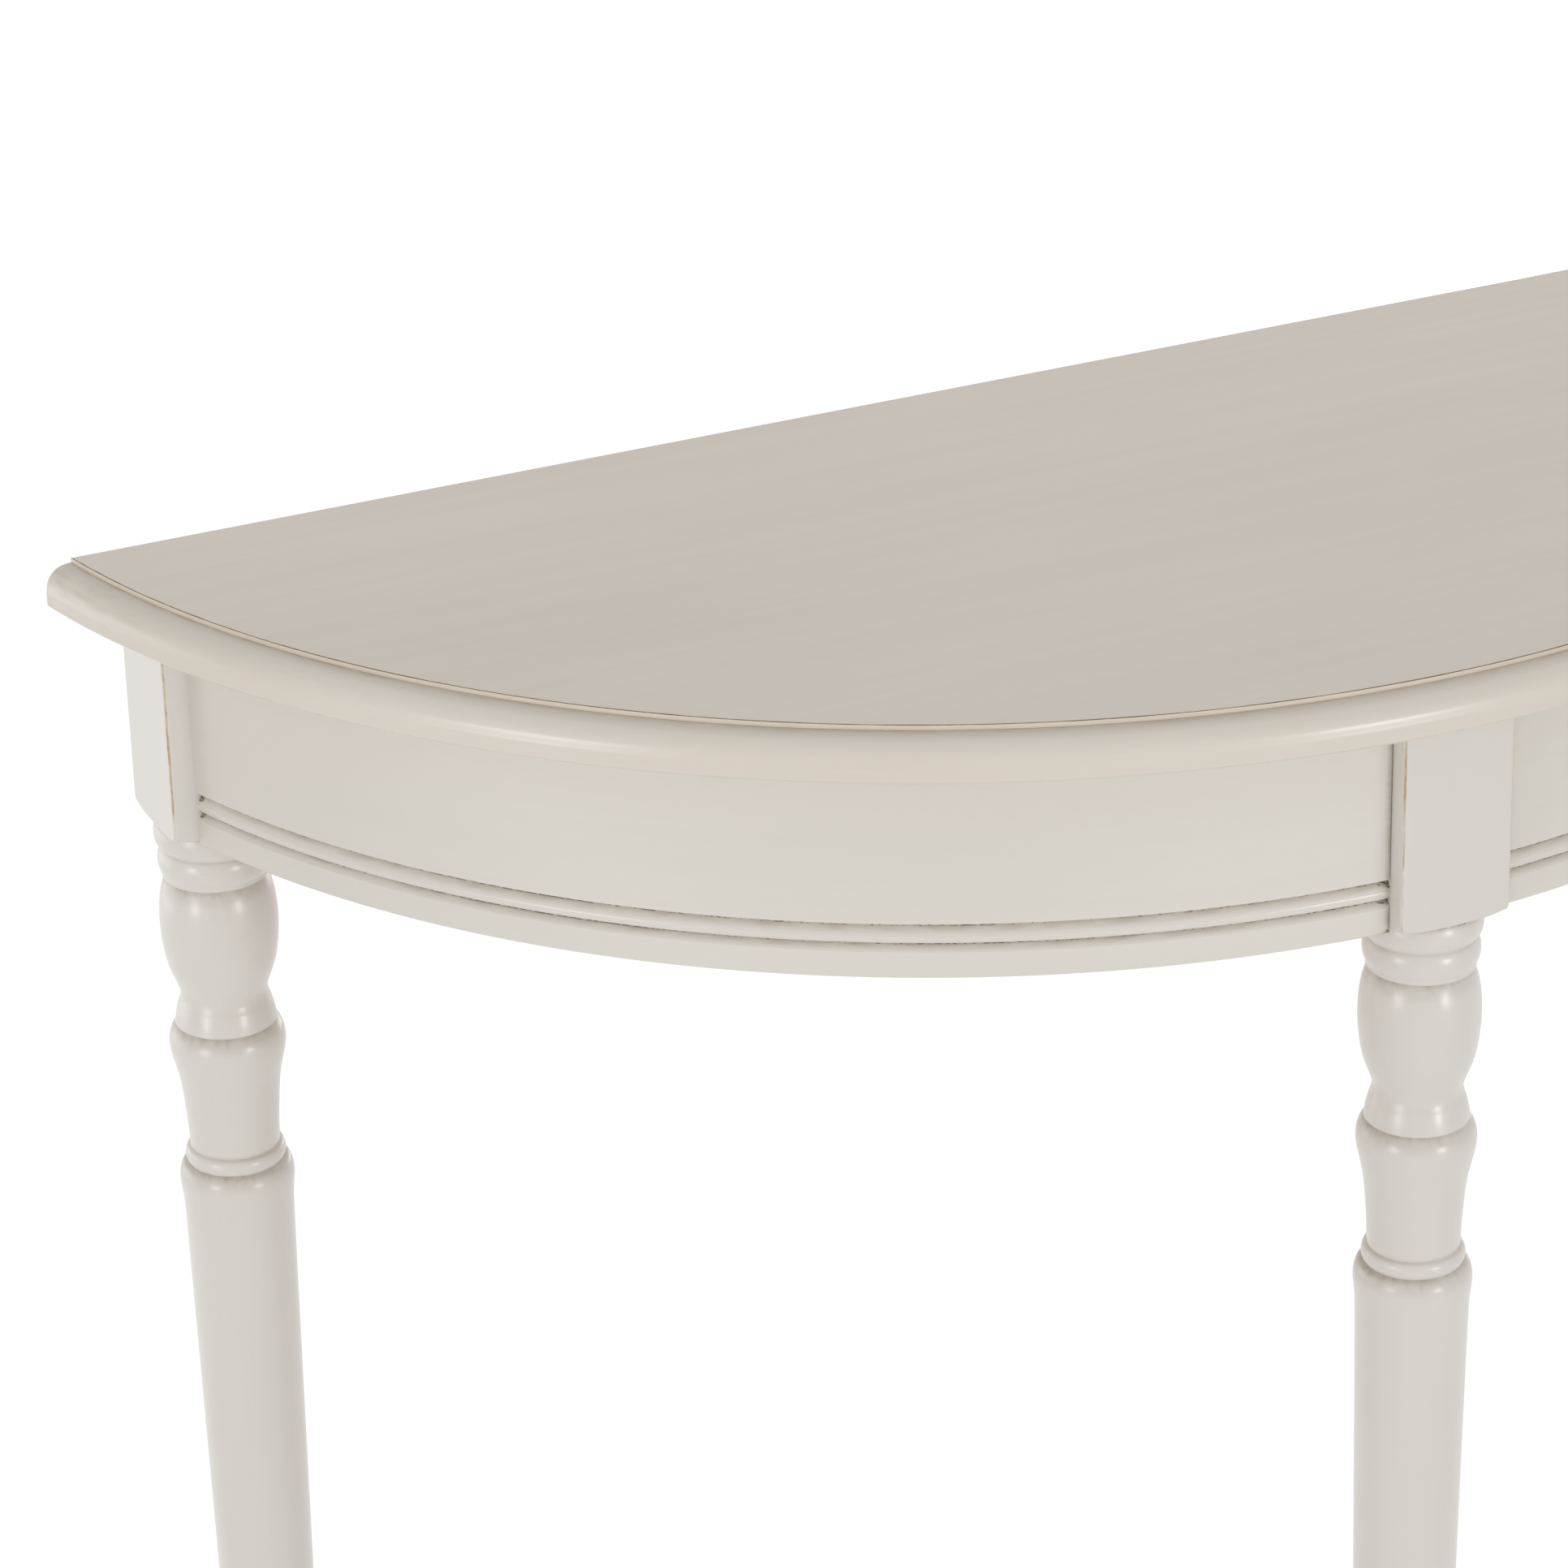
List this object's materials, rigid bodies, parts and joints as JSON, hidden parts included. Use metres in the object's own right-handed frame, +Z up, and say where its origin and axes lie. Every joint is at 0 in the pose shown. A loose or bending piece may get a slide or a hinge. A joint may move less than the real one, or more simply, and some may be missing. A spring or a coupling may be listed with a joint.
{
  "type": "demilune table",
  "caption": "Half-round console table with a moulded top, curved grooved aprons and turned legs, to stand against a wall.",
  "frame": {"origin": "on the floor, under the middle of the top's box", "axes": "+X to the right along the straight back edge, +Y to the straight back that stands against a wall, +Z up"},
  "size_m": [1.0824, 0.452, 0.79],
  "materials": {
    "painted_wood": "satin cream paint with a brown glaze in the grooves and quirks",
    "bare_wood": "planed bare wood",
    "dowel_wood": "bare beech dowel",
    "screw_steel": "zinc plated",
    "glide_plastic": "moulded nylon"
  },
  "bodies": {
    "root": {"top_panel": "painted_wood", "apron_left": "painted_wood", "apron_right": "painted_wood", "back_rail": "painted_wood", "leg_front": "painted_wood", "leg_rear_left": "painted_wood", "leg_rear_right": "painted_wood", "cross_rail": "bare_wood", "corner_block_rear_left": "bare_wood", "corner_block_rear_right": "bare_wood", "corner_block_front_left": "bare_wood", "corner_block_front_right": "bare_wood", "glue_block_apron_left": "bare_wood", "glue_block_apron_right": "bare_wood", "glue_block_rail_left": "bare_wood", "glue_block_rail_right": "bare_wood", "apron_dowels": "dowel_wood", "back_rail_dowels": "dowel_wood", "cross_rail_dowels": "dowel_wood", "corner_screws": "screw_steel", "top_screws": "screw_steel", "glide_front": "glide_plastic", "glide_rear_left": "glide_plastic", "glide_rear_right": "glide_plastic"}
  },
  "joints": []
}
